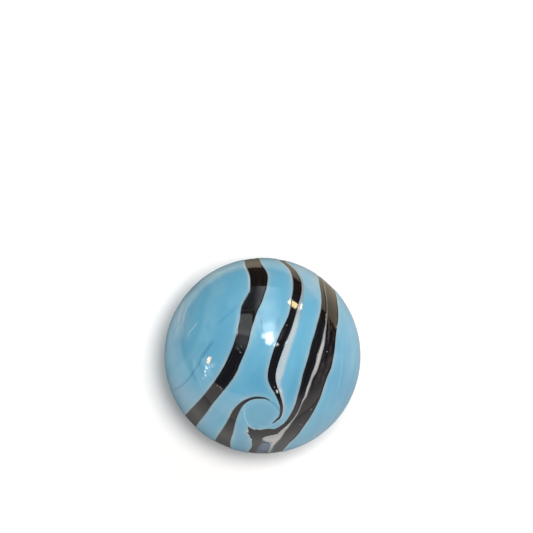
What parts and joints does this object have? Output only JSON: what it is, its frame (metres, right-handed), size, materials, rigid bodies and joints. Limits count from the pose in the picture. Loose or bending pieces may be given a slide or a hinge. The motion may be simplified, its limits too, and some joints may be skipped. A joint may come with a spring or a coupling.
{
  "type": "glass marble",
  "caption": "Solid ball of pale blue opaque glass with black ribbons and pale films swirled into its skin; rolls, and serves as a game piece or loose weight.",
  "frame": {"origin": "centre of the ball", "axes": "+Z towards the side seen from above in the picture, with the hook of the swirl; +X to the right and +Y to the top of that view, so the folded foot of the ribbons lies at -Y"},
  "size_m": [0.016, 0.016, 0.016],
  "materials": {
    "blue_glass": "gloss"
  },
  "bodies": {
    "root": {"marble": "blue_glass"}
  },
  "joints": []
}
